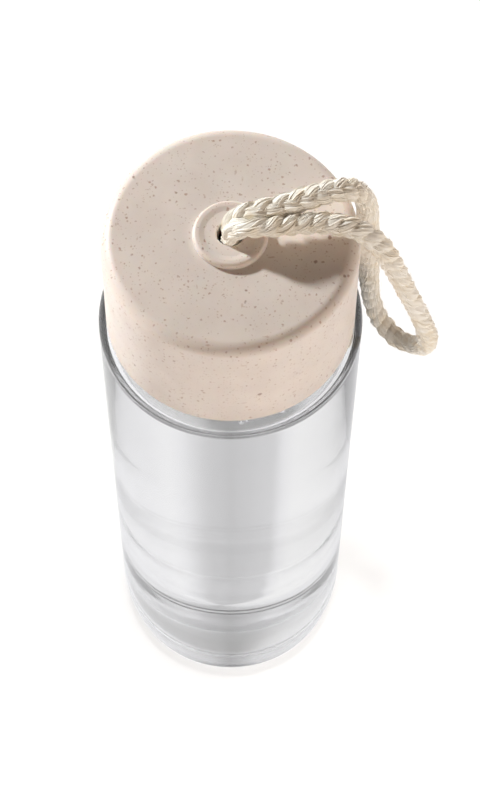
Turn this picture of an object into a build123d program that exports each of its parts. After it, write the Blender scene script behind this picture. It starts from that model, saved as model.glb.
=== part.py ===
# A glass drinking bottle with a screw lid and a loop of cotton rope for carrying it.
# The origin is the middle of the base on the surface that the bottle stands on, with +Z up.
# Every length is in millimetres.

from build123d import *
import math
import os

# Glass body
body_radius = 33.0
body_wall = 2.6
body_height = 179.4
shoulder_width = 7.5
shoulder_round = 4.0
heel_taper = 2.1
heel_height = 14.0
heel_blend = 50.0
heel_round = 7.6
base_thickness = 9.0
floor_round = 14.0
standing_ring = 2.0
punt_depth = 2.4

# Glass neck, which carries the screw thread, and its rim
neck_wall = 2.6
neck_height = 20.7
neck_root_round = 1.6
neck_bore_round = 3.0
rim_round = 0.9
bead_proud = 1.0
bead_height = 2.6
bead_rise = 2.2
bead_round = 0.8
thread_depth = 1.2

# Silicone seal, which lies on the rim
seal_thickness = 1.8
seal_clearance = 0.3

# Threaded liner inside the lid
thread_clearance = 0.35
liner_wall = 1.45
liner_plate = 2.0
liner_flange_proud = 1.1
liner_flange_thickness = 1.5
liner_recess = 1.0
plug_wall = 1.3
plug_depth = 4.5
plug_clearance = 0.6

# Outer shell of the lid
shell_wall = 1.35
shell_draft = 0.3
shell_top_thickness = 2.2
shell_edge_round = 3.0
shell_foot_round = 0.5
shell_corner_round = 2.2
shell_gap = 0.6
snug_clearance = 0.05
rib_count = 6
rib_thickness = 1.4
rib_clearance = 4.2

# Eyelet in the middle of the lid
eyelet_flange = 3.35
eyelet_band = 2.2
eyelet_proud = 1.8
eyelet_band_round = 0.85
dish_depth = 1.0
dish_round = 0.35
eyelet_bore_radius = 3.25
eyelet_bore_round = 0.4
shank_wall = 2.35
snap_overhang = 1.2
snap_thickness = 1.0
snap_round = 0.3

# Cotton rope
rope_diameter = 4.5
throat_clearance = 0.15
throat_proud = 0.4
knot_overhang = 2.15
knot_height = 7.5
knot_round = 3.2
knot_seat = 0.1
knot_room = 1.5
bend_share = 0.48

# The rope's route from one end to the other, each point measured from the middle of the
# eyelet's mouth: out of the eyelet, over the lid's edge, down beside the glass and back.
rope_route = [
    (0.0, 2.35, 0.0),
    (0.0, 2.35, 1.9),
    (0.73, 2.35, 3.65),
    (2.08, 2.35, 5.0),
    (3.85, 2.4, 5.75),
    (6.4, 2.6, 5.9),
    (11.0, 3.8, 6.0),
    (17.6, 5.9, 6.4),
    (24.4, 8.1, 6.8),
    (29.2, 9.6, 4.8),
    (32.0, 10.8, -1.2),
    (33.2, 12.0, -9.4),
    (33.9, 13.0, -19.2),
    (34.7, 14.0, -30.2),
    (34.8, 14.2, -42.0),
    (35.6, 12.6, -52.2),
    (38.0, 9.6, -60.0),
    (43.0, 5.2, -63.4),
    (48.0, 1.4, -59.6),
    (49.7, -2.2, -52.4),
    (49.4, -4.0, -42.6),
    (46.4, -4.1, -32.4),
    (42.5, -3.6, -22.0),
    (39.2, -3.0, -11.8),
    (35.8, -2.2, -2.8),
    (30.6, -0.9, 2.5),
    (23.0, -0.2, 3.9),
    (15.6, -0.8, 4.0),
    (10.2, -1.5, 4.6),
    (6.4, -2.15, 5.55),
    (3.85, -2.3, 5.65),
    (2.08, -2.35, 5.0),
    (0.73, -2.35, 3.65),
    (0.0, -2.35, 1.9),
    (0.0, -2.35, 0.0),
]

# Heights and radii that follow from the sizes above
heel_lean = math.atan2(heel_taper, heel_height)
heel_radius = body_radius - heel_taper
flat_radius = heel_radius - heel_round * math.tan((math.pi / 2 - heel_lean) / 2)
punt_radius = flat_radius - standing_ring
neck_radius = body_radius - shoulder_width
neck_bore = neck_radius - neck_wall
rim_height = body_height + neck_height
plate_underside = rim_height + seal_thickness
plate_top = plate_underside + liner_plate
knot_foot = plate_top + knot_room
knot_top = knot_foot + knot_height
snap_foot = knot_top + knot_seat
shell_underside = snap_foot + snap_thickness
lid_top = shell_underside + shell_top_thickness
lid_foot = body_height + shell_gap
liner_bore = neck_radius + thread_depth + thread_clearance
liner_radius = liner_bore + liner_wall
flange_radius = liner_radius + liner_flange_proud
flange_foot = lid_foot + liner_recess
flange_top = flange_foot + liner_flange_thickness
shell_bore = liner_radius + snug_clearance
flange_bore = flange_radius + snug_clearance
shell_foot_radius = flange_bore + shell_wall
shell_top_radius = shell_foot_radius - shell_draft
plug_radius = neck_bore - plug_clearance
shank_radius = eyelet_bore_radius + shank_wall
eyelet_radius = shank_radius + eyelet_flange
snap_radius = shank_radius + snap_overhang
rib_start_radius = snap_radius + rib_clearance
knot_radius = eyelet_bore_radius + knot_overhang
throat_radius = eyelet_bore_radius - throat_clearance
band_top = lid_top + eyelet_proud
dish_height = band_top - dish_depth
rope_mouth = dish_height + throat_proud


def turned(outline):
    """A solid turned about the Z axis from (radius, height, corner rounding) points."""
    corners = [(radius, height) for radius, height, rounding in outline]
    roundings = [rounding for radius, height, rounding in outline]
    with BuildPart() as piece:
        with BuildSketch(Plane.XZ):
            with BuildLine():
                FilletPolyline(*corners, radius=roundings, close=True)
            make_face()
        revolve(axis=Axis.Z)
    return piece.part


def glass_bottle():
    """Single-walled bottle: tapered heel, thick base with a punt, square shoulder, wide neck."""
    cavity_radius = body_radius - body_wall
    ceiling = body_height - body_wall
    bead_radius = neck_radius + bead_proud
    bead_foot = body_height + bead_rise
    bead_top = bead_foot + bead_height
    glass = turned([
        (0, 0, 0),
        (heel_radius, 0, heel_round),
        (body_radius, heel_height, heel_blend),
        (body_radius, body_height, shoulder_round),
        (neck_radius, body_height, neck_root_round),
        (neck_radius, bead_foot, 0),
        (bead_radius, bead_foot, bead_round),
        (bead_radius, bead_top, bead_round),
        (neck_radius, bead_top, 0),
        (neck_radius, rim_height, rim_round),
        (neck_bore, rim_height, rim_round),
        (neck_bore, ceiling, neck_bore_round),
        (cavity_radius, ceiling, body_wall),
        (cavity_radius, base_thickness, floor_round),
        (0, base_thickness, 0),
    ])
    punt_sphere = (punt_radius**2 + punt_depth**2) / (2 * punt_depth)
    return glass - Pos(0, 0, punt_depth - punt_sphere) * Sphere(punt_sphere)


def seal_ring():
    """Flat silicone ring between the rim and the liner's plate."""
    inner = plug_radius + seal_clearance
    outer = liner_bore - seal_clearance
    return turned([
        (inner, rim_height, 0),
        (outer, rim_height, 0),
        (outer, plate_underside, 0),
        (inner, plate_underside, 0),
    ])


def lid_liner():
    """Cup that screws on the neck, with a short plug inside the seal and a foot flange."""
    plug_bore = plug_radius - plug_wall
    plug_foot = plate_underside - plug_depth
    return turned([
        (0, plate_underside, 0),
        (plug_bore, plate_underside, 0),
        (plug_bore, plug_foot, plug_wall / 3),
        (plug_radius, plug_foot, plug_wall / 3),
        (plug_radius, plate_underside, 0),
        (liner_bore, plate_underside, 0),
        (liner_bore, flange_foot, liner_wall / 2),
        (flange_radius, flange_foot, 0),
        (flange_radius, flange_top, 0),
        (liner_radius, flange_top, 0),
        (liner_radius, plate_top, liner_wall / 2),
        (0, plate_top, 0),
    ])


def lid_shell():
    """Drafted cap over the liner, with ribs under its top that hold the liner down."""
    shank_hole = shank_radius + snug_clearance
    cap = turned([
        (shell_foot_radius, lid_foot, shell_foot_round),
        (shell_top_radius, lid_top, shell_edge_round),
        (shank_hole, lid_top, 0),
        (shank_hole, shell_underside, 0),
        (shell_bore, shell_underside, shell_corner_round),
        (shell_bore, flange_top, 0),
        (flange_bore, flange_top, 0),
        (flange_bore, lid_foot, 0),
    ])
    rib_end_radius = (shell_bore + shell_top_radius) / 2
    rib_length = rib_end_radius - rib_start_radius
    rib_top = shell_underside + shell_top_thickness / 2
    rib_height = rib_top - plate_top
    rib = Pos(rib_start_radius + rib_length / 2, 0, plate_top + rib_height / 2) * Box(
        rib_length, rib_thickness, rib_height
    )
    for turn in range(rib_count):
        cap += Rot(0, 0, 360 * turn / rib_count) * rib
    return cap


def rope_eyelet():
    """Grommet with a rounded band and a dish, snapped through the lid's top."""
    dish_radius = eyelet_radius - eyelet_band
    return turned([
        (eyelet_bore_radius, dish_height, eyelet_bore_round),
        (dish_radius, dish_height, dish_round),
        (dish_radius, band_top, eyelet_band_round / 2),
        (eyelet_radius, band_top, eyelet_band_round),
        (eyelet_radius, lid_top, 0),
        (shank_radius, lid_top, 0),
        (shank_radius, shell_underside, 0),
        (snap_radius, shell_underside, 0),
        (snap_radius, snap_foot, snap_round),
        (eyelet_bore_radius, snap_foot, snap_round),
    ])


def rope_knot():
    """The knot that stops the rope under the lid, with both legs squeezed in the eyelet."""
    return turned([
        (0, knot_foot, 0),
        (knot_radius, knot_foot, knot_round),
        (knot_radius, knot_top, knot_round / 2),
        (throat_radius, knot_top, 0),
        (throat_radius, rope_mouth, 0),
        (0, rope_mouth, 0),
    ])


def bend_radii(points):
    """The largest bend at each point of a route that its shorter run allows."""
    radii = []
    for before, point, after in zip(points, points[1:], points[2:]):
        run_in = point - before
        run_out = after - point
        half_turn = math.radians(run_in.get_angle(run_out)) / 2
        shorter_run = min(run_in.length, run_out.length)
        radii.append(bend_share * shorter_run / math.tan(half_turn))
    return radii


def rope_loop():
    """The free rope, one round tube along its route."""
    mouth = Vector(0, 0, rope_mouth)
    points = [mouth + Vector(*place) for place in rope_route]
    radii = bend_radii(points)
    path = FilletPolyline(*points, radius=radii)
    section = Plane(origin=path @ 0, z_dir=path % 0) * Circle(rope_diameter / 2)
    rope = sweep(section, path=path)
    section_area = math.pi * rope_diameter**2 / 4
    print("rope bend radii:", ", ".join(f"{radius:.1f}" for radius in radii))
    print(f"rope length {path.length:.1f} mm, volume over section times length",
          f"{rope.volume / (section_area * path.length):.4f}")
    return rope


nodes = {
    "glass_bottle": glass_bottle,
    "seal_ring": seal_ring,
    "lid_liner": lid_liner,
    "lid_shell": lid_shell,
    "rope_eyelet": rope_eyelet,
    "rope_knot": rope_knot,
    "rope_loop": rope_loop,
}

os.makedirs("parts", exist_ok=True)
for name, make in nodes.items():
    export_step(make(), f"parts/{name}.step")
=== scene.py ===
import math
import random

import bmesh
import bpy
from mathutils import Matrix, Vector


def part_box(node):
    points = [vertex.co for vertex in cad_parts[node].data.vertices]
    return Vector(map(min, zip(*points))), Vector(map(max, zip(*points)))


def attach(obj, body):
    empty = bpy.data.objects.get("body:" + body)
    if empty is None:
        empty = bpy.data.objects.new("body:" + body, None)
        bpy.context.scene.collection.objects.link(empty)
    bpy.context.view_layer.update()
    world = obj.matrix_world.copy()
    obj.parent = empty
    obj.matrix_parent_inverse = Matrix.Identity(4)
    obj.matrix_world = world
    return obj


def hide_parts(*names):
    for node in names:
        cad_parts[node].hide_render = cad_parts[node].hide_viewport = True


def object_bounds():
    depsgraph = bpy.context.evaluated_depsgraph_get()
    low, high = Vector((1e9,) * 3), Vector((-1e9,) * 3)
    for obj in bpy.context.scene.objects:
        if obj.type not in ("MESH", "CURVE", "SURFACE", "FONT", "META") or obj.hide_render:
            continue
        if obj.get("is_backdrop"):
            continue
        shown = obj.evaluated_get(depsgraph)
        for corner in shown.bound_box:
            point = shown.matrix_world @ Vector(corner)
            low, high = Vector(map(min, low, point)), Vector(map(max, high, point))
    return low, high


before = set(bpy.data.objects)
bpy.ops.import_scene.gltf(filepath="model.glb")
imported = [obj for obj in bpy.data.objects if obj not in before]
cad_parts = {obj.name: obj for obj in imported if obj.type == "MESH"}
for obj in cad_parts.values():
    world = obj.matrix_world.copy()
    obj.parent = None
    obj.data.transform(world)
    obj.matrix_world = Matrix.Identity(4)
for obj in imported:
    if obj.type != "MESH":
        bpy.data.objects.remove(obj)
cad_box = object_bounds()

MM = 0.001
FULL_TURN = 2 * math.pi

# Places read from the frame
_, GLASS_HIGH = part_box("glass_bottle")
SEAL_LOW, SEAL_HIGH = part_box("seal_ring")
LINER_LOW, LINER_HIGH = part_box("lid_liner")
SHELL_LOW, SHELL_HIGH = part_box("lid_shell")
EYELET_LOW, EYELET_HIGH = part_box("rope_eyelet")
KNOT_LOW, KNOT_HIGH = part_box("rope_knot")
BODY_RADIUS = GLASS_HIGH.x
RIM = GLASS_HIGH.z
LID_FOOT = SHELL_LOW.z
LID_TOP = SHELL_HIGH.z
ROPE_MOUTH = KNOT_HIGH.z

# Glass body
WALL = 2.6 * MM
SHELL_GAP = 0.6 * MM
SHOULDER = LID_FOOT - SHELL_GAP
SHOULDER_WIDTH = 7.5 * MM
SHOULDER_ROUND = 4 * MM
CAVITY_RADIUS = BODY_RADIUS - WALL
CEILING = SHOULDER - WALL
BASE_THICKNESS = 9 * MM
FLOOR_ROUND = 14 * MM
HEEL_TAPER = 2.1 * MM
HEEL_HEIGHT = 14 * MM
HEEL_BLEND = 50 * MM
HEEL_ROUND = 7.6 * MM
HEEL_LEAN = math.atan2(HEEL_TAPER, HEEL_HEIGHT)
HEEL_RADIUS = BODY_RADIUS - HEEL_TAPER
FLAT_RADIUS = HEEL_RADIUS - HEEL_ROUND * math.tan((math.pi / 2 - HEEL_LEAN) / 2)
STANDING_RING = 2 * MM
STANDING_RING_STEPS = 6
KNURLS = 72
KNURL_DEPTH = 0.25 * MM
KNURL_EDGE = 1.6
PUNT_RADIUS = FLAT_RADIUS - STANDING_RING
PUNT_DEPTH = 2.4 * MM
PUNT_STEPS = 12
GLASS_SEGMENTS = 288
GLASS_ARC = math.radians(4)

# Glass neck
NECK_RADIUS = BODY_RADIUS - SHOULDER_WIDTH
NECK_BORE = NECK_RADIUS - WALL
NECK_ROOT_ROUND = 1.6 * MM
NECK_BORE_ROUND = 3 * MM
RIM_ROUND = 0.9 * MM
BEAD_RISE = 2.2 * MM
BEAD_HEIGHT = 2.6 * MM
BEAD_PROUD = 1.0 * MM
BEAD_ROUND = 0.8 * MM
BEAD_FOOT = SHOULDER + BEAD_RISE
BEAD_TOP = BEAD_FOOT + BEAD_HEIGHT

# Thread with two starts on the neck, and its partner in the liner, half a pitch along
THREAD_LEAD = 8 * MM
THREAD_STARTS = 2
THREAD_PITCH = THREAD_LEAD / THREAD_STARTS
THREAD_DEPTH = 1.1 * MM
THREAD_HALF_WIDTH = 1.15 * MM
THREAD_FLANK = 0.75 * MM
THREAD_RUN_OUT = 1.0 * MM
THREAD_FOOT = BEAD_TOP + 1.6 * MM
THREAD_HEAD = RIM - 2.4 * MM
THREAD_STEPS = 44
THREAD_ROOM = 1.55 * MM
LINER_THREAD_DEPTH = 0.9 * THREAD_DEPTH
ON_THREAD_WALL = 0.01 * MM

# Water
WATER_LEVEL = SHOULDER + 10 * MM
WATER_LAP = 0.05 * MM
WATER_EDGE_ROUND = 5.5 * MM
BUBBLES = 46
FRONT_BUBBLES = 18
FRONT_SPREAD = math.radians(22)
SMALLEST_BUBBLE = 0.4 * MM
LARGEST_BUBBLE = 1.15 * MM
BUBBLE_NEAREST_WALL = 0.3 * MM
BUBBLE_FARTHEST_WALL = 3.2 * MM
BUBBLE_DROP = 0.7 * MM

# Seal
SEAL_WIDTH = 4.75 * MM
SEAL_ROUND = 0.3 * MM

# Liner
LINER_BORE = NECK_RADIUS + THREAD_ROOM
LINER_WALL = 1.45 * MM
LINER_RADIUS = LINER_BORE + LINER_WALL
LINER_ROUND = 0.7 * MM
FLANGE_RADIUS = LINER_HIGH.x
FLANGE_TOP = LINER_LOW.z + 1.5 * MM
FLANGE_ROUND = 0.2 * MM
PLUG_CLEARANCE = 0.6 * MM
PLUG_WALL = 1.3 * MM
PLUG_DEPTH = 4.5 * MM
PLUG_ROUND = 0.4 * MM

# Lid shell
SNUG_CLEARANCE = 0.05 * MM
SHELL_DRAFT = 0.3 * MM
SHELL_BORE = LINER_RADIUS + SNUG_CLEARANCE
SHELL_TOP_THICKNESS = 2.2 * MM
SHELL_UNDERSIDE = LID_TOP - SHELL_TOP_THICKNESS
SHELL_FOOT_ROUND = 0.5 * MM
SHELL_EDGE_ROUND = 3.2 * MM
SHELL_CORNER_ROUND = 2.2 * MM
RIBS = 6
RIB_THICKNESS = 1.4 * MM
RIB_START_RADIUS = 11 * MM

# Eyelet
EYELET_RADIUS = EYELET_HIGH.x
EYELET_BORE = 3.25 * MM
EYELET_BORE_ROUND = 0.4 * MM
BAND_WIDTH = 1.5 * MM
BAND_ROUND = 0.85 * MM
DISH_DEPTH = 0.35 * MM
DISH_SLOPE = 1.3 * MM
DISH_ROUND = 1.0 * MM
SHANK_RADIUS = 5.6 * MM
SNAP_RADIUS = 6.8 * MM
SNAP_ROUND = 0.3 * MM

# Rope: a plait of plies, each a core in loose yarns, drawn out and squeezed near the eyelet
ROPE_STEP = 0.68 * MM
PLIES = 3
PLAIT_PITCH = 10 * MM
DRAWN_PITCH = 15 * MM
DRAWN_LENGTH = 30 * MM
PLY_REACH = 1.0 * MM
PLY_CROSSING = 0.55 * MM
PLY_RADIUS = 1.9 * MM
PLY_CORE = 0.92
PLY_TWIST = 26 * MM
YARNS = 21
YARN_RADIUS = 0.24 * MM
YARN_WANDER = 0.2
YARN_SWELL = 0.05
YARN_PHASES = 6.28
SWAY = 0.45
SWAY_LENGTH = 83 * MM
SQUEEZED_LENGTH = 9 * MM
SQUEEZED_SIZE = 0.77
ROPE_SHARP_ANGLE = 80

# Loose fibres on the rope, with none near its ends
HAIRS = 400
HAIR_RADIUS = 0.03 * MM
HAIR_STEPS = 5
HAIR_CURL = 0.6
HAIR_RISE = 0.42
HAIR_DROOP = 0.25
BARE_END_STEPS = 6

# Knot under the lid
KNOTTED_SIZE = 0.43
KNOT_STEPS = 120
KNOT_RADIUS = 2.35 * MM
KNOT_SWING = 1.25 * MM
KNOT_RISE = 1.9 * MM
LEG_LAP = 1.5 * MM

# The rope's route from the part, measured in millimetres from the middle of the eyelet's mouth.
# Its first and last five points are drawn together, because both legs fill one hole, and a few
# others are moved to follow the photo.
ROPE_ROUTE = [
    (-0.1, 1.3, 0.0),
    (-0.1, 1.35, 1.9),
    (0.7, 1.6, 3.6),
    (2.2, 1.85, 5.0),
    (3.9, 2.15, 5.75),
    (6.4, 2.6, 5.9),
    (11.0, 3.8, 6.0),
    (17.6, 5.9, 6.4),
    (24.4, 8.1, 6.8),
    (29.2, 9.6, 4.8),
    (32.0, 10.8, -1.1),
    (32.8, 12.0, -9.4),
    (33.5, 13.0, -19.2),
    (34.4, 14.0, -30.2),
    (34.8, 14.2, -42.0),
    (35.6, 12.6, -52.2),
    (38.0, 9.6, -60.0),
    (42.8, 5.2, -62.9),
    (47.5, 1.4, -59.4),
    (49.3, -2.2, -52.4),
    (49.4, -4.0, -42.6),
    (46.7, -4.1, -32.4),
    (42.9, -3.6, -22.0),
    (39.5, -3.0, -11.8),
    (35.9, -1.8, -2.8),
    (30.6, -0.1, 2.7),
    (23.0, 0.9, 4.0),
    (15.6, 0.4, 4.1),
    (10.2, -0.6, 4.6),
    (6.4, -1.3, 5.3),
    (3.9, -1.4, 5.4),
    (2.2, -1.4, 4.8),
    (0.7, -1.3, 3.5),
    (-0.1, -1.35, 1.9),
    (-0.1, -1.3, 0.0),
]

# The greys that the glass shows, as (degrees clockwise from the back, grey): of the sky, and of
# the floor round the place behind the bottle where the lines of sight through it cross, which is
# GLASS_FOCUS behind its axis. The floor's greys are painted shade and light, the bottle's shadow
# and caustics and the studio's bright and dark places, which the floor shows only in the glass.
# Under the bottle, up to UNDER_REACH from its axis, they run from left to right instead, as
# (share of UNDER_REACH, grey), a painted shadow of the bottle.
SKY_TONES = [
    (-180, 0.70), (-60, 0.82), (-20, 0.85), (-12, 0.55), (0, 0.44), (12, 0.55), (20, 0.80),
    (60, 0.78), (180, 0.70),
]
FLOOR_SHADE_TONES = [
    (-180, 0.50), (-175, 0.65), (-160, 0.90), (-140, 0.92), (-115, 0.90), (-95, 0.92),
    (-80, 1.0), (-48, 1.0), (-37, 1.0), (-29, 0.88), (-23, 0.62), (-9, 0.60), (0, 0.62),
    (9, 0.60), (14, 0.65), (20, 0.78), (26, 0.92), (34, 0.99), (50, 0.93), (73, 0.92),
    (85, 0.86), (98, 0.80), (115, 0.80), (140, 0.86), (160, 0.86), (175, 0.65), (180, 0.50),
]
UNDER_SHADOW_TONES = [
    (-1, 0.48), (-0.35, 0.45), (-0.1, 0.42), (0.1, 0.38), (0.25, 0.48), (0.5, 0.76), (1, 0.90),
]
GLASS_FOCUS = 30 * MM
UNDER_REACH = 12 * MM
UNDER_FADE = 2.5
TONE_BLUE = 1.02

# Light that falls on the bottle, with the key lamp's way from the lid, and the floor
WORLD_LIGHT = 1.29
MORE_FROM_RIGHT = 0.62
MORE_FROM_FRONT = 0.36
KEY_WAY = Vector((-1.8, 1.25, 1.1)).normalized()
KEY_DISTANCE = 2.4
KEY_SIZE = 0.24
KEY_POWER = 76
KEY_COLOUR = (0.98, 1.0, 1.0)
SHADE_POWER = 1.1
SHADE_SPREAD = math.radians(5)
WASH_POWER = 1.8
FLOOR_RADIUS = 4.0
FLOOR_DROP = 0.02 * MM
FLOOR_WHITE = 0.95
FLOOR_GLOW = 0.35


def smooth_step(value):
    value = min(1, max(0, value))
    return value * value * (3 - 2 * value)


def rounded(outline, arc_step=math.radians(9), before=None, after=None):
    """The points of an outline of (radius, height, corner rounding), its corners as arcs. It is
    closed, unless before and after give the points on either side of it."""
    corners = [Vector(place[:2]) for place in outline]
    lasts = [Vector(before) if before else corners[-1]] + corners[:-1]
    nexts = corners[1:] + [Vector(after) if after else corners[0]]
    points = []
    for corner, last, following, (_, _, rounding) in zip(corners, lasts, nexts, outline):
        if rounding == 0:
            points.append(corner)
            continue
        to_last = (last - corner).normalized()
        to_next = (following - corner).normalized()
        half = to_last.angle(to_next) / 2
        centre = corner + (to_last + to_next).normalized() * rounding / math.sin(half)
        start = corner + to_last * rounding / math.tan(half) - centre
        end = corner + to_next * rounding / math.tan(half) - centre
        turn = start.angle_signed(end)
        steps = max(2, math.ceil(abs(turn) / arc_step))
        for k in range(steps + 1):
            points.append(centre + Matrix.Rotation(-turn * k / steps, 2) @ start)
    return points


def turned(points, segments=192, reshape=None):
    """A closed surface turned about the Z axis, in a new bmesh; reshape gives a point's radius
    and height from its own and its angle."""
    bm = bmesh.new()
    rings = []
    for radius, height in points:
        if radius == 0:
            rings.append([bm.verts.new((0, 0, height))])
            continue
        ring = []
        for k in range(segments):
            angle = FULL_TURN * k / segments
            r, z = reshape(radius, height, angle) if reshape else (radius, height)
            ring.append(bm.verts.new((r * math.cos(angle), r * math.sin(angle), z)))
        rings.append(ring)
    for a, b in zip(rings, rings[1:] + rings[:1]):
        if len(a) == 1 and len(b) == 1:
            continue
        for k in range(segments):
            n = (k + 1) % segments
            if len(a) == 1:
                bm.faces.new((a[0], b[n], b[k]))
            elif len(b) == 1:
                bm.faces.new((a[k], a[n], b[0]))
            else:
                bm.faces.new((a[k], a[n], b[n], b[k]))
    bmesh.ops.recalc_face_normals(bm, faces=bm.faces)
    return bm


def new_piece(name, bm, sharp_angle=35):
    """A smooth piece with the mesh built in bm, its edges sharp past an angle in degrees."""
    mesh = bpy.data.meshes.new(name)
    bm.to_mesh(mesh)
    bm.free()
    mesh.polygons.foreach_set("use_smooth", [True] * len(mesh.polygons))
    mesh.set_sharp_from_angle(angle=math.radians(sharp_angle))
    piece = bpy.data.objects.new(name, mesh)
    bpy.context.scene.collection.objects.link(piece)
    return piece


def dress(piece, body, slot, material, *nodes):
    """Give a piece its material and say which body it rides on and which solids it replaces."""
    piece.data.materials.append(material)
    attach(piece, body)
    if nodes:
        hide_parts(*nodes)


def new_material(name, **values):
    """A material, its node tree and its shader; the values are for the shader's sockets."""
    material = bpy.data.materials.new(name)
    material.use_nodes = True
    tree = material.node_tree
    shader = tree.nodes["Principled BSDF"]
    for key, value in values.items():
        shader.inputs[key.replace("_", " ")].default_value = value
    return material, tree, shader


def add_node(tree, kind, inputs=None, **settings):
    """A new node; each input is a constant or another node's output."""
    node = tree.nodes.new(kind)
    for key, value in settings.items():
        setattr(node, key, value)
    for key, value in (inputs or {}).items():
        if isinstance(value, bpy.types.NodeSocket):
            tree.links.new(value, node.inputs[key])
        else:
            node.inputs[key].default_value = value
    return node


def noise(tree, place, scale, detail):
    return add_node(
        tree, "ShaderNodeTexNoise", {"Vector": place, "Scale": scale, "Detail": detail}
    )


def ramp(tree, value, stops):
    """A colour from a value, by stops of (value, colour)."""
    node = add_node(tree, "ShaderNodeValToRGB", {"Fac": value})
    elements = node.color_ramp.elements
    elements.remove(elements[1])
    elements[0].position, elements[0].color = stops[0]
    for place, colour in stops[1:]:
        elements.new(place).color = colour
    return node.outputs["Color"]


def grey(value):
    return (value, value, value, 1)


def mixed(tree, factor, a, b):
    """Colour a where the factor is 0 and colour b where it is 1."""
    factor_input, a_input, b_input, colour_output = 0, 6, 7, 2
    node = add_node(
        tree, "ShaderNodeMix", {factor_input: factor, a_input: a, b_input: b}, data_type="RGBA"
    )
    return node.outputs[colour_output]


def calculated(tree, operation, a, b, clamp=False):
    node = add_node(tree, "ShaderNodeMath", {0: a, 1: b}, operation=operation, use_clamp=clamp)
    return node.outputs[0]


def multiplied_added(tree, value, factor, more):
    node = add_node(
        tree, "ShaderNodeMath", {0: value, 1: factor, 2: more}, operation="MULTIPLY_ADD"
    )
    return node.outputs[0]


def vector_calculated(tree, operation, a, b):
    node = add_node(tree, "ShaderNodeVectorMath", {0: a, 1: b}, operation=operation)
    return node.outputs[0]


def vector_scaled(tree, vector, scale):
    node = add_node(tree, "ShaderNodeVectorMath", {0: vector, "Scale": scale}, operation="SCALE")
    return node.outputs[0]


def object_place(tree):
    return add_node(tree, "ShaderNodeTexCoord").outputs["Object"]


def bumped(tree, shader, height, strength, distance):
    node = add_node(
        tree, "ShaderNodeBump", {"Height": height, "Strength": strength, "Distance": distance}
    )
    tree.links.new(node.outputs["Normal"], shader.inputs["Normal"])


def glass_material():
    """Clear glass with faint upright waves."""
    material, tree, shader = new_material(
        "clear_glass", Base_Color=(1, 1, 1, 1), Roughness=0.0, IOR=1.5, Transmission_Weight=0.965
    )
    stretched = add_node(
        tree, "ShaderNodeMapping", {"Vector": object_place(tree), "Scale": (1, 1, 0.35)}
    )
    waves = noise(tree, stretched.outputs[0], scale=60.0, detail=1.0)
    bumped(tree, shader, waves.outputs["Fac"], strength=0.3, distance=0.4 * MM)
    return material


def water_material():
    material, _, _ = new_material(
        "clear_water", Base_Color=(1, 1, 1, 1), Roughness=0.0, IOR=1.333, Transmission_Weight=1.0
    )
    return material


def speck_shape(tree, place, cells, shown_share, radius, stretch):
    """1 inside ragged specks scattered in the plastic, one or none in a cell, and 0 between."""
    raggedness = 3.0 * radius
    smallest_share = 0.5
    edge_sharpness = 1.7
    bend = noise(tree, place, scale=2.0 * cells, detail=2.0)
    shift = vector_calculated(tree, "SUBTRACT", bend.outputs["Color"], (0.5, 0.5, 0.5))
    ragged_place = vector_calculated(tree, "ADD", place, vector_scaled(tree, shift, raggedness))
    mapping = add_node(tree, "ShaderNodeMapping", {
        "Vector": ragged_place, "Location": (0.41, 0.33, 0.27), "Scale": stretch,
    })
    cell = add_node(tree, "ShaderNodeTexVoronoi", {"Vector": mapping.outputs[0], "Scale": cells})
    pick = add_node(tree, "ShaderNodeSeparateColor", {"Color": cell.outputs["Color"]})
    shown = calculated(tree, "LESS_THAN", pick.outputs["Red"], shown_share)
    reach = radius * cells
    size = multiplied_added(tree, pick.outputs["Green"], reach, reach * smallest_share)
    depth = calculated(tree, "SUBTRACT", size, cell.outputs["Distance"])
    inside = calculated(tree, "MULTIPLY", depth, edge_sharpness / reach, clamp=True)
    return calculated(tree, "MULTIPLY", shown, inside)


def speckled_material():
    """Wheat fibre plastic: warm beige with brown and rust coloured specks and short fibres."""
    material, tree, shader = new_material(
        "speckled_plastic", Roughness=0.45, Specular_IOR_Level=0.4, Subsurface_Weight=0.25,
        Subsurface_Radius=(1.0, 0.45, 0.2), Subsurface_Scale=2.5 * MM
    )
    place = object_place(tree)
    cloud = noise(tree, place, scale=110.0, detail=5.0)
    colour = ramp(tree, cloud.outputs["Fac"], [
        (0.3, (0.735, 0.655, 0.60, 1)),
        (0.7, (0.80, 0.72, 0.665, 1)),
    ])
    specks = [
        # (cells per metre, share that shows, largest radius, stretch, colour, weight)
        (300.0, 0.20, 0.40 * MM, (1, 1, 1), (0.24, 0.11, 0.06, 1), 0.68),
        (600.0, 0.60, 0.30 * MM, (1, 1, 1), (0.34, 0.16, 0.09, 1), 0.58),
        (880.0, 0.60, 0.23 * MM, (1, 1, 1), (0.36, 0.19, 0.12, 1), 0.48),
        (1400.0, 0.50, 0.16 * MM, (1, 1, 1), (0.42, 0.27, 0.18, 1), 0.4),
        (480.0, 0.35, 0.24 * MM, (0.3, 1, 1), (0.38, 0.20, 0.12, 1), 0.4),
        (480.0, 0.35, 0.24 * MM, (1, 0.3, 1), (0.40, 0.22, 0.13, 1), 0.36),
    ]
    for cells, shown_share, radius, stretch, tint, weight in specks:
        shape = speck_shape(tree, place, cells, shown_share, radius, stretch)
        colour = mixed(tree, calculated(tree, "MULTIPLY", shape, weight), colour, tint)
    tree.links.new(colour, shader.inputs["Base Color"])
    grain = noise(tree, place, scale=1500.0, detail=3.0)
    bumped(tree, shader, grain.outputs["Fac"], strength=0.12, distance=0.1 * MM)
    return material


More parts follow.
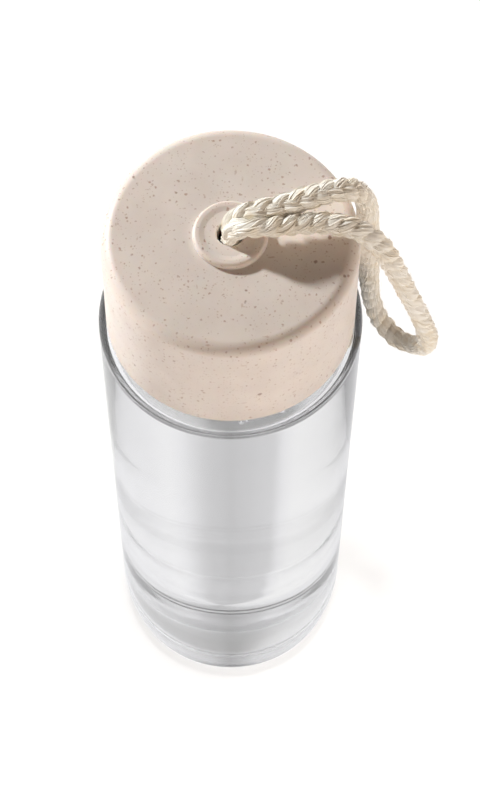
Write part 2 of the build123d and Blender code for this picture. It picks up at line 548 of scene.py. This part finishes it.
def rope_material():
    """Natural cotton: cream yarns that differ a little in tone, matte and slightly fuzzy."""
    material, tree, shader = new_material(
        "cotton_rope", Roughness=0.9, Specular_IOR_Level=0.15, Sheen_Weight=0.35,
        Sheen_Roughness=0.5
    )
    place = object_place(tree)
    tone = add_node(tree, "ShaderNodeAttribute", attribute_name="yarn_tone")
    cloud = noise(tree, place, scale=260.0, detail=5.0)
    value = calculated(tree, "ADD", cloud.outputs["Fac"], tone.outputs["Fac"])
    colour = ramp(tree, value, [
        (0.2, (0.88, 0.79, 0.64, 1)),
        (0.42, (0.96, 0.92, 0.83, 1)),
        (0.7, (0.98, 0.965, 0.92, 1)),
    ])
    tree.links.new(colour, shader.inputs["Base Color"])
    fuzz = noise(tree, place, scale=6500.0, detail=3.0)
    bumped(tree, shader, fuzz.outputs["Fac"], strength=0.5, distance=0.06 * MM)
    return material


def plain_plastic(name, colour, roughness):
    """One colour with a fine grain, which makes its roughness differ by 15% either way."""
    material, tree, shader = new_material(name, Base_Color=colour)
    grain = noise(tree, object_place(tree), scale=900.0, detail=3.0)
    rough = ramp(tree, grain.outputs["Fac"], [
        (0.3, grey(roughness * 0.85)),
        (0.7, grey(roughness * 1.15)),
    ])
    tree.links.new(rough, shader.inputs["Roughness"])
    bumped(tree, shader, grain.outputs["Fac"], strength=0.05, distance=0.1 * MM)
    return material


def thread_points(radius):
    """Points close together on a wall that carries the thread, from its foot to its head."""
    length = THREAD_HEAD - THREAD_FOOT
    return [
        Vector((radius, THREAD_FOOT + length * k / THREAD_STEPS)) for k in range(1, THREAD_STEPS)
    ]


def thread_height(height, angle, shift=0.0):
    """How far the thread stands up at a place, from 0 to 1; shift is a share of the pitch."""
    turns = angle / FULL_TURN
    along = (height - THREAD_FOOT) / THREAD_PITCH - THREAD_STARTS * turns + shift
    from_crest = abs(along % 1 - 0.5) * THREAD_PITCH
    ridge = smooth_step((THREAD_HALF_WIDTH - from_crest) / THREAD_FLANK)
    from_foot = smooth_step((height - THREAD_FOOT) / THREAD_RUN_OUT)
    from_head = smooth_step((THREAD_HEAD - height) / THREAD_RUN_OUT)
    return ridge * from_foot * from_head


def knurl_height(radius, angle):
    """How far the bearing ring's small radial grooves reach up into the glass."""
    middle = (PUNT_RADIUS + FLAT_RADIUS) / 2
    from_edge = 1 - abs(radius - middle) / (FLAT_RADIUS - middle)
    wave = 0.5 + 0.5 * math.cos(KNURLS * angle)
    return KNURL_DEPTH * smooth_step(KNURL_EDGE * from_edge) * wave


def with_knurl_and_thread(radius, height, angle):
    if height == 0 and PUNT_RADIUS < radius < FLAT_RADIUS:
        return radius, knurl_height(radius, angle)
    if abs(radius - NECK_RADIUS) > ON_THREAD_WALL:
        return radius, height
    return radius + THREAD_DEPTH * thread_height(height, angle), height


def with_liner_thread(radius, height, angle):
    if abs(radius - LINER_BORE) > ON_THREAD_WALL:
        return radius, height
    return radius - LINER_THREAD_DEPTH * thread_height(height, angle, shift=0.5), height


def make_glass(material):
    """The bottle: punt, knurled ring, tapered heel, thick base, square shoulder and neck."""
    bead_radius = NECK_RADIUS + BEAD_PROUD
    punt_sphere = (PUNT_RADIUS ** 2 + PUNT_DEPTH ** 2) / (2 * PUNT_DEPTH)
    punt = []
    for k in range(PUNT_STEPS + 1):
        radius = PUNT_RADIUS * k / PUNT_STEPS
        drop = punt_sphere - math.sqrt(punt_sphere ** 2 - radius ** 2)
        punt.append(Vector((radius, PUNT_DEPTH - drop)))
    ring = [
        Vector((PUNT_RADIUS + STANDING_RING * k / STANDING_RING_STEPS, 0))
        for k in range(1, STANDING_RING_STEPS)
    ]
    outside = rounded([
        (HEEL_RADIUS, 0, HEEL_ROUND),
        (BODY_RADIUS, HEEL_HEIGHT, HEEL_BLEND),
        (BODY_RADIUS, SHOULDER, SHOULDER_ROUND),
        (NECK_RADIUS, SHOULDER, NECK_ROOT_ROUND),
        (NECK_RADIUS, BEAD_FOOT, 0),
        (bead_radius, BEAD_FOOT, BEAD_ROUND),
        (bead_radius, BEAD_TOP, BEAD_ROUND),
        (NECK_RADIUS, BEAD_TOP, 0),
        (NECK_RADIUS, THREAD_FOOT, 0),
    ], arc_step=GLASS_ARC, before=(FLAT_RADIUS, 0), after=(NECK_RADIUS, RIM))
    inside = rounded([
        (NECK_RADIUS, THREAD_HEAD, 0),
        (NECK_RADIUS, RIM, RIM_ROUND),
        (NECK_BORE, RIM, RIM_ROUND),
        (NECK_BORE, CEILING, NECK_BORE_ROUND),
        (CAVITY_RADIUS, CEILING, WALL),
        (CAVITY_RADIUS, BASE_THICKNESS, FLOOR_ROUND),
        (0, BASE_THICKNESS, 0),
    ], arc_step=GLASS_ARC)
    points = punt + ring + outside + thread_points(NECK_RADIUS) + inside
    bm = turned(points, GLASS_SEGMENTS, with_knurl_and_thread)
    glass = new_piece("glass_body", bm)
    dress(glass, "bottle", "clear_glass", material, "glass_bottle")


def add_bubble(bm, radius, from_axis, angle):
    """An air bubble under the ceiling: a sphere in the water whose faces look inward."""
    centre = Vector((from_axis * math.cos(angle), from_axis * math.sin(angle),
                     CEILING - radius - BUBBLE_DROP))
    bubble = bmesh.ops.create_uvsphere(
        bm, u_segments=16, v_segments=10, radius=radius, matrix=Matrix.Translation(centre)
    )
    faces = {face for vert in bubble["verts"] for face in vert.link_faces}
    bmesh.ops.reverse_faces(bm, faces=list(faces))


def make_water(material):
    """The clear water that the bottle is full of, with air bubbles under the shoulder. It
    reaches a little into the glass, so that light bends there once, as it really does."""
    body_radius = CAVITY_RADIUS + WATER_LAP
    neck_radius = NECK_BORE + WATER_LAP
    foot = BASE_THICKNESS - WATER_LAP
    body_top = CEILING + WATER_LAP
    bm = turned(rounded([
        (0, foot, 0),
        (body_radius, foot, FLOOR_ROUND),
        (body_radius, body_top, WATER_EDGE_ROUND),
        (neck_radius, body_top, 0),
        (neck_radius, WATER_LEVEL, 0),
        (0, WATER_LEVEL, 0),
    ], arc_step=GLASS_ARC), GLASS_SEGMENTS)
    chance = random.Random(11)
    for bubble in range(BUBBLES):
        radius = chance.uniform(SMALLEST_BUBBLE, LARGEST_BUBBLE)
        from_wall = chance.uniform(BUBBLE_NEAREST_WALL, BUBBLE_FARTHEST_WALL)
        angle = chance.uniform(0, FULL_TURN)
        if bubble < FRONT_BUBBLES:
            angle = chance.gauss(-math.pi / 2, FRONT_SPREAD)
        add_bubble(bm, radius, CAVITY_RADIUS - radius - from_wall, angle)
    water = new_piece("water", bm)
    dress(water, "bottle", "clear_glass", material)


def make_seal(material):
    outer = SEAL_HIGH.x
    inner = outer - SEAL_WIDTH
    bm = turned(rounded([
        (inner, SEAL_LOW.z, SEAL_ROUND),
        (outer, SEAL_LOW.z, SEAL_ROUND),
        (outer, SEAL_HIGH.z, SEAL_ROUND),
        (inner, SEAL_HIGH.z, SEAL_ROUND),
    ]), segments=128)
    seal = new_piece("seal", bm)
    dress(seal, "seal", "silicone", material, "seal_ring")


def make_liner(material):
    """The cup that screws on the neck, with a plug inside the seal and a foot flange."""
    plate = SEAL_HIGH.z
    plug_radius = NECK_BORE - PLUG_CLEARANCE
    plug_bore = plug_radius - PLUG_WALL
    plug_foot = plate - PLUG_DEPTH
    upper = rounded([
        (0, plate, 0),
        (plug_bore, plate, 0),
        (plug_bore, plug_foot, PLUG_ROUND),
        (plug_radius, plug_foot, PLUG_ROUND),
        (plug_radius, plate, 0),
        (LINER_BORE, plate, 0),
        (LINER_BORE, THREAD_HEAD, 0),
    ])
    lower = rounded([
        (LINER_BORE, THREAD_FOOT, 0),
        (LINER_BORE, LINER_LOW.z, LINER_ROUND),
        (FLANGE_RADIUS, LINER_LOW.z, FLANGE_ROUND),
        (FLANGE_RADIUS, FLANGE_TOP, 0),
        (LINER_RADIUS, FLANGE_TOP, 0),
        (LINER_RADIUS, LINER_HIGH.z, LINER_ROUND),
        (0, LINER_HIGH.z, 0),
    ])
    points = upper + thread_points(LINER_BORE)[::-1] + lower
    liner = new_piece("liner", turned(points, reshape=with_liner_thread))
    dress(liner, "lid", "liner_plastic", material, "lid_liner")


def make_shell(material):
    """The drafted cap over the liner, with ribs under its top that hold the liner down."""
    foot_radius = SHELL_HIGH.x
    top_radius = foot_radius - SHELL_DRAFT
    flange_bore = FLANGE_RADIUS + SNUG_CLEARANCE
    shank_hole = SHANK_RADIUS + SNUG_CLEARANCE
    bm = turned(rounded([
        (foot_radius, LID_FOOT, SHELL_FOOT_ROUND),
        (top_radius, LID_TOP, SHELL_EDGE_ROUND),
        (shank_hole, LID_TOP, 0),
        (shank_hole, SHELL_UNDERSIDE, 0),
        (SHELL_BORE, SHELL_UNDERSIDE, SHELL_CORNER_ROUND),
        (SHELL_BORE, FLANGE_TOP, 0),
        (flange_bore, FLANGE_TOP, 0),
        (flange_bore, LID_FOOT, 0),
    ], arc_step=math.radians(5)), segments=256)
    rib_end_radius = (SHELL_BORE + top_radius) / 2
    rib_length = rib_end_radius - RIB_START_RADIUS
    rib_foot = LINER_HIGH.z
    rib_height = SHELL_UNDERSIDE + SHELL_TOP_THICKNESS / 2 - rib_foot
    shape = Matrix.Diagonal((rib_length, RIB_THICKNESS, rib_height, 1))
    middle = Vector((RIB_START_RADIUS + rib_length / 2, 0, rib_foot + rib_height / 2))
    for rib in range(RIBS):
        spin = Matrix.Rotation(FULL_TURN * rib / RIBS, 4, "Z")
        bmesh.ops.create_cube(bm, size=1, matrix=spin @ Matrix.Translation(middle) @ shape)
    shell = new_piece("shell", bm)
    dress(shell, "lid", "speckled_plastic", material, "lid_shell")


def make_eyelet(material):
    """The grommet with a band round a shallow dish, snapped through the lid's top."""
    band_top = EYELET_HIGH.z
    dish = band_top - DISH_DEPTH
    band_inner = EYELET_RADIUS - BAND_WIDTH
    bm = turned(rounded([
        (EYELET_BORE, dish, EYELET_BORE_ROUND),
        (band_inner - DISH_SLOPE, dish, DISH_ROUND),
        (band_inner, band_top, DISH_ROUND),
        (EYELET_RADIUS, band_top, BAND_ROUND),
        (EYELET_RADIUS, LID_TOP, 0),
        (SHANK_RADIUS, LID_TOP, 0),
        (SHANK_RADIUS, SHELL_UNDERSIDE, 0),
        (SNAP_RADIUS, SHELL_UNDERSIDE, 0),
        (SNAP_RADIUS, EYELET_LOW.z, SNAP_ROUND),
        (EYELET_BORE, EYELET_LOW.z, SNAP_ROUND),
    ], arc_step=math.radians(6)), segments=160)
    eyelet = new_piece("eyelet", bm)
    dress(eyelet, "lid", "speckled_plastic", material, "rope_eyelet")


def route_line():
    """The rope's smooth centreline, as points read from its spline."""
    curve = bpy.data.curves.new("route", "CURVE")
    curve.dimensions = "3D"
    curve.resolution_u = 24
    spline = curve.splines.new("NURBS")
    spline.points.add(len(ROPE_ROUTE) - 1)
    for point, (x, y, z) in zip(spline.points, ROPE_ROUTE):
        point.co = (x * MM, y * MM, ROPE_MOUTH + z * MM, 1)
    spline.order_u = 3
    spline.use_endpoint_u = True
    bare = bpy.data.objects.new("route", curve)
    mesh = bpy.data.meshes.new_from_object(bare)
    line = [v.co.copy() for v in mesh.vertices]
    bpy.data.objects.remove(bare)
    bpy.data.curves.remove(curve)
    bpy.data.meshes.remove(mesh)
    return line


def spaced(line):
    """The line's points again, an even ROPE_STEP or a little less apart."""
    lengths = [0.0]
    for a, b in zip(line, line[1:]):
        lengths.append(lengths[-1] + (b - a).length)
    count = math.ceil(lengths[-1] / ROPE_STEP)
    out, i = [], 0
    for k in range(count + 1):
        at = lengths[-1] * k / count
        while i < len(line) - 2 and lengths[i + 1] < at:
            i += 1
        share = (at - lengths[i]) / max(lengths[i + 1] - lengths[i], 1e-12)
        out.append(line[i].lerp(line[i + 1], min(1, share)))
    return out


def way_at(line, i):
    """The direction of a line at one of its points."""
    return (line[min(i + 1, len(line) - 1)] - line[max(i - 1, 0)]).normalized()


def frames_along(line, side):
    """At each point of a line, two directions square to it that turn no more than they must."""
    out = []
    for i, point in enumerate(line):
        ahead = way_at(line, i)
        side = (side - ahead * side.dot(ahead)).normalized()
        out.append((point, side, ahead.cross(side)))
    return out


def add_tube(bm, tone_layer, centres, radii, tone, sides):
    """A closed tube through centres, written into bm with its tone on each vertex."""
    rings = []
    first_side = (centres[1] - centres[0]).orthogonal()
    for (point, side, up), radius in zip(frames_along(centres, first_side), radii):
        ring = []
        for k in range(sides):
            angle = FULL_TURN * k / sides
            vert = bm.verts.new(point + (side * math.cos(angle) + up * math.sin(angle)) * radius)
            vert[tone_layer] = tone
            ring.append(vert)
        rings.append(ring)
    for a, b in zip(rings, rings[1:]):
        for k in range(sides):
            n = (k + 1) % sides
            bm.faces.new((a[k], a[n], b[n], b[k]))
    bm.faces.new(rings[0][::-1])
    bm.faces.new(rings[-1])


def add_yarn(bm, tone_layer, middles, turns, sizes, start, ply_tone, chance):
    """One yarn that winds round a ply, with a thickness, wander, swelling and tone of its own."""
    start += chance.uniform(-0.2, 0.2)
    wander = chance.uniform(0, YARN_PHASES)
    swell = chance.uniform(0, YARN_PHASES)
    wander_length = chance.uniform(5, 9) * MM
    swell_length = chance.uniform(3, 6) * MM
    thick = YARN_RADIUS * chance.uniform(0.8, 1.2)
    lift = chance.uniform(0.97, 1.05)
    centres, radii = [], []
    for i, (middle, (wide, deep), size) in enumerate(zip(middles, turns, sizes)):
        along = i * ROPE_STEP
        angle = start + FULL_TURN * along / PLY_TWIST
        angle += YARN_WANDER * math.sin(FULL_TURN * along / wander_length + wander)
        swelling = YARN_SWELL * math.sin(FULL_TURN * along / swell_length + swell)
        out = wide * math.cos(angle) + deep * math.sin(angle)
        reach = (PLY_RADIUS - YARN_RADIUS) * size * lift * (1 + swelling)
        centres.append(middle + out * reach)
        radii.append(thick * size)
    tone = ply_tone + chance.uniform(-0.08, 0.08)
    add_tube(bm, tone_layer, centres, radii, tone, sides=4)


def add_ply(bm, tone_layer, frames, phases, sizes, chance):
    """One ply of a plait, which crosses its neighbours in turn: a core in loose yarns."""
    middles, turns = [], []
    for (point, side, up), phase, size in zip(frames, phases, sizes):
        offset = side * PLY_REACH * math.sin(phase) + up * PLY_CROSSING * math.sin(2 * phase)
        middles.append(point + offset * size)
    for i, (_, _, deep) in enumerate(frames):
        ahead = way_at(middles, i)
        deep = (deep - ahead * deep.dot(ahead)).normalized()
        turns.append((ahead.cross(deep), deep))
    core = [PLY_RADIUS * PLY_CORE * size for size in sizes]
    add_tube(bm, tone_layer, middles, core, tone=0, sides=12)
    ply_tone = chance.uniform(-0.03, 0.03)
    for yarn in range(YARNS):
        start = FULL_TURN * yarn / YARNS
        add_yarn(bm, tone_layer, middles, turns, sizes, start, ply_tone, chance)


def plaited(bm, tone_layer, line, first_side, roll_at, size_at, pitch_at, chance):
    """A plait along a line; the functions give its wide face's turn, its squeeze and its pitch
    at a place along it."""
    frames, phases, sizes = [], [], []
    phase = 0
    for i, (point, side, up) in enumerate(frames_along(line, first_side)):
        along = i * ROPE_STEP
        roll = roll_at(along)
        across = side * math.cos(roll) + up * math.sin(roll)
        frames.append((point, across, up * math.cos(roll) - side * math.sin(roll)))
        phases.append(phase)
        sizes.append(size_at(along))
        phase += FULL_TURN * ROPE_STEP / pitch_at(along)
    for ply in range(PLIES):
        shifted = [phase + FULL_TURN * ply / PLIES for phase in phases]
        add_ply(bm, tone_layer, frames, shifted, sizes, chance)
    return frames


def add_hairs(bm, tone_layer, frames, chance):
    """Loose fibres that stand off the rope."""
    rope_reach = PLY_REACH + PLY_RADIUS
    for _ in range(HAIRS):
        i = chance.randrange(BARE_END_STEPS, len(frames) - BARE_END_STEPS)
        point, side, up = frames[i]
        angle = chance.uniform(0, FULL_TURN)
        out = side * math.cos(angle) + up * math.sin(angle)
        ahead = side.cross(up) * chance.choice((-1, 1))
        curl = (up * math.cos(angle) - side * math.sin(angle)) * chance.uniform(-1, 1)
        length = chance.uniform(1.0, 2.8) * MM
        root = point + out * rope_reach * chance.uniform(0.7, 0.95)
        centres = []
        for k in range(HAIR_STEPS + 1):
            t = k / HAIR_STEPS
            rise = HAIR_RISE * t - HAIR_DROOP * t * t
            centres.append(root + (ahead * t + curl * HAIR_CURL * t * t + out * rise) * length)
        add_tube(bm, tone_layer, centres, [HAIR_RADIUS] * len(centres), tone=0.1, sides=3)


def make_rope(material):
    """The free rope from the eyelet's hole, over the lid's edge and back."""
    line = spaced(route_line())
    length = sum((b - a).length for a, b in zip(line, line[1:]))

    def loose_share(along):
        return smooth_step(min(along, length - along) / SQUEEZED_LENGTH)

    def roll_at(along):
        sway = SWAY * math.sin(FULL_TURN * along / SWAY_LENGTH)
        return sway * loose_share(along) + math.pi / 2 * (1 - loose_share(along))

    def size_at(along):
        return SQUEEZED_SIZE + (1 - SQUEEZED_SIZE) * loose_share(along)

    def pitch_at(along):
        drawn = 1 - smooth_step(min(along, length - along) / DRAWN_LENGTH)
        return PLAIT_PITCH + (DRAWN_PITCH - PLAIT_PITCH) * drawn

    chance = random.Random(3)
    bm = bmesh.new()
    tone_layer = bm.verts.layers.float.new("yarn_tone")
    frames = plaited(bm, tone_layer, line, Vector((0, 1, 0)), roll_at, size_at, pitch_at, chance)
    add_hairs(bm, tone_layer, frames, chance)
    rope = new_piece("carry_rope", bm, ROPE_SHARP_ANGLE)
    dress(rope, "rope", "cotton_rope", material, "rope_loop")


def knot_line():
    """The closed line of an overhand knot, about the middle of the space under the lid."""
    centre = Vector((0, 0, (KNOT_LOW.z + EYELET_LOW.z) / 2))
    line = []
    for k in range(KNOT_STEPS + 1):
        t = FULL_TURN * k / KNOT_STEPS
        radius = KNOT_RADIUS + KNOT_SWING * math.cos(3 * t)
        rise = KNOT_RISE * math.sin(3 * t)
        line.append(centre + Vector((radius * math.cos(2 * t), radius * math.sin(2 * t), rise)))
    return line


def make_knot(material):
    """An overhand knot under the lid with the two legs squeezed up through the eyelet."""
    chance = random.Random(5)
    bm = bmesh.new()
    tone_layer = bm.verts.layers.float.new("yarn_tone")
    plaited(bm, tone_layer, spaced(knot_line()), Vector((0, 0, 1)), lambda along: 0,
            lambda along: KNOTTED_SIZE, lambda along: PLAIT_PITCH, chance)
    foot = EYELET_LOW.z - LEG_LAP
    for x, y, _ in (ROPE_ROUTE[0], ROPE_ROUTE[-1]):
        leg = [Vector((x * MM, y * MM, foot)), Vector((x * MM, y * MM, ROPE_MOUTH))]
        plaited(bm, tone_layer, spaced(leg), Vector((1, 0, 0)), lambda along: 0,
                lambda along: SQUEEZED_SIZE, lambda along: DRAWN_PITCH, chance)
    knot = new_piece("stop_knot", bm, ROPE_SHARP_ANGLE)
    dress(knot, "rope", "cotton_rope", material, "rope_knot")


def make_camera():
    """The photograph's view, found by fitting the bottle's outlines."""
    photo_height = 796
    focal_pixels = 2416
    pitch, roll = math.radians(64), math.radians(0.357)
    distance = 645.6 * MM
    aim = Vector((2.483 * MM, 0, 129.56 * MM))
    forward = Vector((0, math.cos(pitch), -math.sin(pitch)))
    right = Vector((1, 0, 0))
    up = right.cross(forward)
    camera_right = right * math.cos(roll) + up * math.sin(roll)
    camera_up = up * math.cos(roll) - right * math.sin(roll)
    data = bpy.data.cameras.new("camera")
    data.sensor_width = 36
    data.lens = focal_pixels / photo_height * data.sensor_width
    data.clip_start = 0.01
    camera = bpy.data.objects.new("camera", data)
    turn = Matrix((camera_right, camera_up, -forward)).transposed().to_4x4()
    camera.matrix_world = Matrix.Translation(aim - forward * distance) @ turn
    bpy.context.scene.collection.objects.link(camera)
    bpy.context.scene.camera = camera


def seen_ray(tree):
    """1 for a ray from the camera, or one reflected or refracted on its way from it."""
    rays = add_node(tree, "ShaderNodeLightPath").outputs
    seen = calculated(tree, "MAXIMUM", rays["Is Camera Ray"], rays["Is Glossy Ray"])
    return calculated(tree, "MAXIMUM", seen, rays["Is Transmission Ray"])


def camera_ray(tree):
    return add_node(tree, "ShaderNodeLightPath").outputs["Is Camera Ray"]


def tone_round(tree, x, y, stops):
    """The grey that shows in glass, by the way round from the bottle's back: the sky's, and the
    floor's painted shade and light; the stops give it in degrees clockwise, seen from above."""
    around = calculated(tree, "ARCTAN2", x, y)
    turn = multiplied_added(tree, around, 1 / FULL_TURN, 0.5)
    return ramp(tree, turn, [
        (0.5 + degrees / 360, (tone, tone, min(1, tone * TONE_BLUE), 1))
        for degrees, tone in stops
    ])


def make_world():
    """White to the camera, studio greys in the glass, and for the light that falls on the
    bottle a band round the horizon, brightest at the front right, under a dim warm ceiling."""
    world = bpy.data.worlds.new("studio")
    bpy.context.scene.world = world
    world.use_nodes = True
    tree = world.node_tree
    way = add_node(tree, "ShaderNodeTexCoord").outputs["Generated"]
    parts = add_node(tree, "ShaderNodeSeparateXYZ", {"Vector": way}).outputs
    height = multiplied_added(tree, parts["Z"], 0.5, 0.5)
    band = ramp(tree, height, [
        (0.54, (1.0, 0.95, 0.88, 1)),
        (0.70, (0.66, 0.46, 0.30, 1)),
        (0.75, (0.02, 0.01, 0.005, 1)),
    ])
    level = multiplied_added(tree, parts["X"], MORE_FROM_RIGHT, WORLD_LIGHT)
    level = multiplied_added(tree, parts["Y"], -MORE_FROM_FRONT, level)
    light = vector_scaled(tree, band, level)
    tone = tone_round(tree, parts["X"], parts["Y"], SKY_TONES)
    shown = mixed(tree, camera_ray(tree), tone, grey(1.0))
    background = tree.nodes["Background"]
    tree.links.new(mixed(tree, seen_ray(tree), light, shown), background.inputs["Color"])
    background.inputs["Strength"].default_value = 1.0


def painted_floor_shade(tree):
    """Painted shade and light on the floor, shown only in glass: a painted shadow under the
    bottle, and painted bands round it beyond.
    """
    place = add_node(tree, "ShaderNodeNewGeometry").outputs["Position"]
    parts = add_node(tree, "ShaderNodeSeparateXYZ", {"Vector": place}).outputs
    from_focus = calculated(tree, "SUBTRACT", parts["Y"], GLASS_FOCUS)
    beyond_shade = tone_round(tree, parts["X"], from_focus, FLOOR_SHADE_TONES)
    across = multiplied_added(tree, parts["X"], 1 / (2 * UNDER_REACH), 0.5)
    under_shadow = ramp(tree, across, [(0.5 + share / 2, grey(tone)) for share, tone in UNDER_SHADOW_TONES])
    flat = add_node(tree, "ShaderNodeCombineXYZ", {"X": parts["X"], "Y": parts["Y"]})
    reach = add_node(tree, "ShaderNodeVectorMath", {0: flat.outputs[0]}, operation="LENGTH")
    outward = calculated(tree, "DIVIDE", reach.outputs["Value"], UNDER_REACH)
    past = calculated(tree, "SUBTRACT", outward, 1.0)
    beyond = calculated(tree, "MULTIPLY", past, UNDER_FADE, clamp=True)
    return mixed(tree, beyond, under_shadow, beyond_shade)


def make_floor():
    """A white floor that keeps the bottle's soft shadow and shows painted shade and light in the
    glass.
    """
    bm = bmesh.new()
    bmesh.ops.create_circle(bm, cap_ends=True, segments=96, radius=FLOOR_RADIUS)
    floor = new_piece("floor", bm)
    floor.location.z = -FLOOR_DROP
    material, tree, shader = new_material("floor", Roughness=0.9, Specular_IOR_Level=0.0)
    seen = seen_ray(tree)
    straight = camera_ray(tree)
    white = mixed(tree, seen, grey(FLOOR_WHITE), grey(1.0))
    tree.links.new(white, shader.inputs["Base Color"])
    # The glow is white to the camera; to rays through the glass it shows the floor's painted shade
    # and light.
    glow = add_node(tree, "ShaderNodeEmission", {
        "Color": mixed(tree, straight, painted_floor_shade(tree), grey(1.0)), "Strength": 1.0,
    })
    in_glass = calculated(tree, "SUBTRACT", seen, straight)
    share = calculated(tree, "MULTIPLY", straight, FLOOR_GLOW)
    share = calculated(tree, "ADD", share, in_glass, clamp=True)
    both = add_node(
        tree, "ShaderNodeMixShader", {0: share, 1: shader.outputs[0], 2: glow.outputs[0]}
    )
    tree.links.new(both.outputs[0], tree.nodes["Material Output"].inputs["Surface"])
    floor.data.materials.append(material)
    floor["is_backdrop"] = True
    return floor


def link_state(name, piece, state):
    """A collection that says whether a lamp lights, or is blocked by, one piece alone."""
    group = bpy.data.collections.new(name)
    group.objects.link(piece)
    group.collection_objects[0].light_linking.link_state = state
    return group


def make_key(floor):
    """The main lamp, behind the lid on its left, which lights all but the floor."""
    aim = Vector((0, 0, LID_TOP))
    data = bpy.data.lights.new("key", "AREA")
    data.shape = "DISK"
    data.size = KEY_SIZE
    data.energy = KEY_POWER
    data.color = KEY_COLOUR
    lamp = bpy.data.objects.new("key", data)
    lamp.location = aim + KEY_WAY * KEY_DISTANCE
    lamp.rotation_mode = "QUATERNION"
    lamp.rotation_quaternion = (-KEY_WAY).to_track_quat("-Z", "Y")
    bpy.context.scene.collection.objects.link(lamp)
    lamp.light_linking.receiver_collection = link_state("lit_by_key", floor, "EXCLUDE")


def floor_light(name, floor, power, spread):
    """Light from straight above that falls on the floor alone."""
    data = bpy.data.lights.new(name, "SUN")
    data.energy = power
    data.angle = spread
    lamp = bpy.data.objects.new(name, data)
    bpy.context.scene.collection.objects.link(lamp)
    lamp.light_linking.receiver_collection = link_state(f"lit_by_{name}", floor, "INCLUDE")
    return lamp


def make_floor_lights(floor):
    """One lamp gives the bottle's soft shadow, and the other lights the floor without one."""
    floor_light("floor_shade", floor, SHADE_POWER, SHADE_SPREAD)
    wash = floor_light("floor_wash", floor, WASH_POWER, 0)
    wash.light_linking.blocker_collection = link_state("blocks_wash", floor, "INCLUDE")


make_camera()
rope = rope_material()
make_rope(rope)
make_knot(rope)
make_glass(glass_material())
make_water(water_material())
make_seal(plain_plastic("silicone", (0.86, 0.86, 0.84, 1), 0.4))
make_liner(plain_plastic("liner_plastic", (0.87, 0.86, 0.83, 1), 0.3))
speckled = speckled_material()
make_shell(speckled)
make_eyelet(speckled)
make_world()
floor = make_floor()
make_key(floor)
make_floor_lights(floor)
bpy.context.scene.view_settings.view_transform = "Standard"

shown_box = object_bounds()
[[list(corner) for corner in box] for box in (cad_box, shown_box)]
